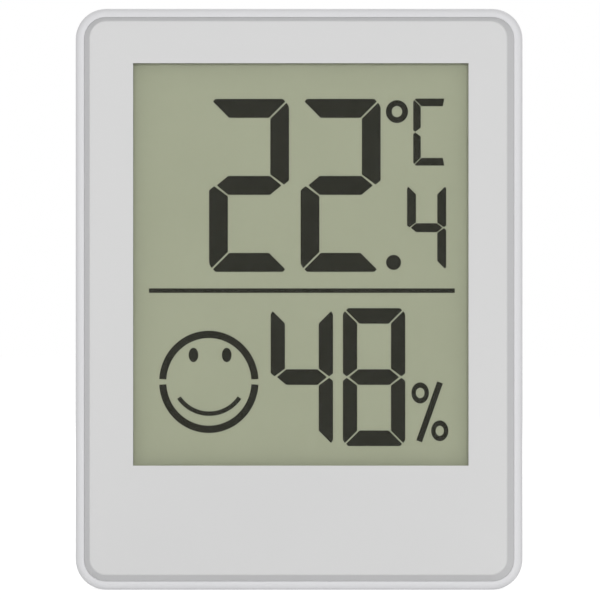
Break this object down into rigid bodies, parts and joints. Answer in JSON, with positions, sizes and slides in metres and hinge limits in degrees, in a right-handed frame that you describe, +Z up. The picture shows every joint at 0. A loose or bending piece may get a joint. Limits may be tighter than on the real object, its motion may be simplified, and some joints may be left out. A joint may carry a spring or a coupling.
{
  "type": "digital thermo-hygrometer",
  "caption": "Small upright digital thermo-hygrometer: slim plastic case, segment display, fold-out stand, twist battery door, unit button, magnets and a hanging keyhole.",
  "frame": {"origin": "middle of the base, on the surface that the case stands on", "axes": "+Z up along the case's height, -Y out of the display, +Y out of the back, +X to the right as the display is read"},
  "size_m": [0.05, 0.015, 0.065],
  "materials": {
    "case_plastic": "moulded ABS, fine satin texture",
    "cover_plastic": "moulded ABS, silvery light grey satin",
    "gasket_foam": "closed-cell foam",
    "polariser_film": "anti-glare polariser film",
    "lcd_glass": "clear float glass",
    "seal_epoxy": "printed epoxy seal",
    "lcd_rear_glass": "float glass over its bonded reflector",
    "reflector_film": "brushed reflector film",
    "holder_plastic": "moulded ABS, natural white",
    "zebra_rubber": "layered silicone rubber",
    "board_laminate": "glass-epoxy laminate, green solder mask",
    "screw_steel": "zinc-plated steel",
    "glob_epoxy": "black epoxy",
    "crystal_can": "drawn metal can",
    "capacitor_ceramic": "ceramic, tinned ends",
    "resistor_ceramic": "ceramic, tinned ends",
    "sensor_ceramic": "alumina plate, printed film",
    "thermistor_epoxy": "dipped epoxy bead",
    "tinned_wire": "tinned copper wire",
    "switch_plastic": "moulded nylon",
    "dome_steel": "pressed spring steel",
    "plunger_plastic": "moulded nylon",
    "button_plastic": "moulded ABS, mid grey",
    "contact_nickel": "nickel-plated spring steel",
    "cell_steel": "pressed stainless steel",
    "cell_gasket": "moulded polypropylene",
    "door_plastic": "moulded ABS, fine satin texture",
    "stand_plastic": "moulded ABS, fine satin texture",
    "magnet_nickel": "nickel-plated magnet"
  },
  "bodies": {
    "case": {"rear_case": "case_plastic", "front_cover": "cover_plastic", "dust_gasket": "gasket_foam", "lcd_front_polariser": "polariser_film", "lcd_front_glass": "lcd_glass", "lcd_edge_seal": "seal_epoxy", "lcd_rear_glass": "lcd_rear_glass", "lcd_reflector": "reflector_film", "lcd_holder": "holder_plastic", "zebra_strip": "zebra_rubber", "circuit_board": "board_laminate", "board_screws": "screw_steel", "chip_blob": "glob_epoxy", "clock_crystal": "crystal_can", "capacitors": "capacitor_ceramic", "resistors": "resistor_ceramic", "humidity_sensor": "sensor_ceramic", "thermistor": "thermistor_epoxy", "sensor_leads": "tinned_wire", "tact_switch": "switch_plastic", "switch_dome": "dome_steel", "battery_positive_contact": "contact_nickel", "battery_negative_contact": "contact_nickel", "cell_can": "cell_steel", "cell_seal": "cell_gasket", "cell_cap": "cell_steel", "magnets": "magnet_nickel", "case_screws": "screw_steel"},
    "stand_leg": {"stand": "stand_plastic"},
    "door": {"battery_door": "door_plastic"},
    "button": {"unit_button": "button_plastic", "switch_plunger": "plunger_plastic"}
  },
  "joints": [
    {"name": "stand_fold", "type": "hinge", "parent": "case", "child": "stand_leg", "pos_m": [0, 0.0057, 0.0208], "axis": [1, 0, 0], "range_deg": [0, 40]},
    {"name": "battery_door_twist", "type": "hinge", "parent": "case", "child": "door", "pos_m": [0, 0.0067, 0.0375], "axis": [0, 1, 0], "range_deg": [0, 35]},
    {"name": "unit_button_press", "type": "slide", "parent": "case", "child": "button", "axis": [0, -1, 0], "range_m": [0, 0.0003], "stiffness_N_per_m": 800, "springref_m": -0.0003}
  ]
}
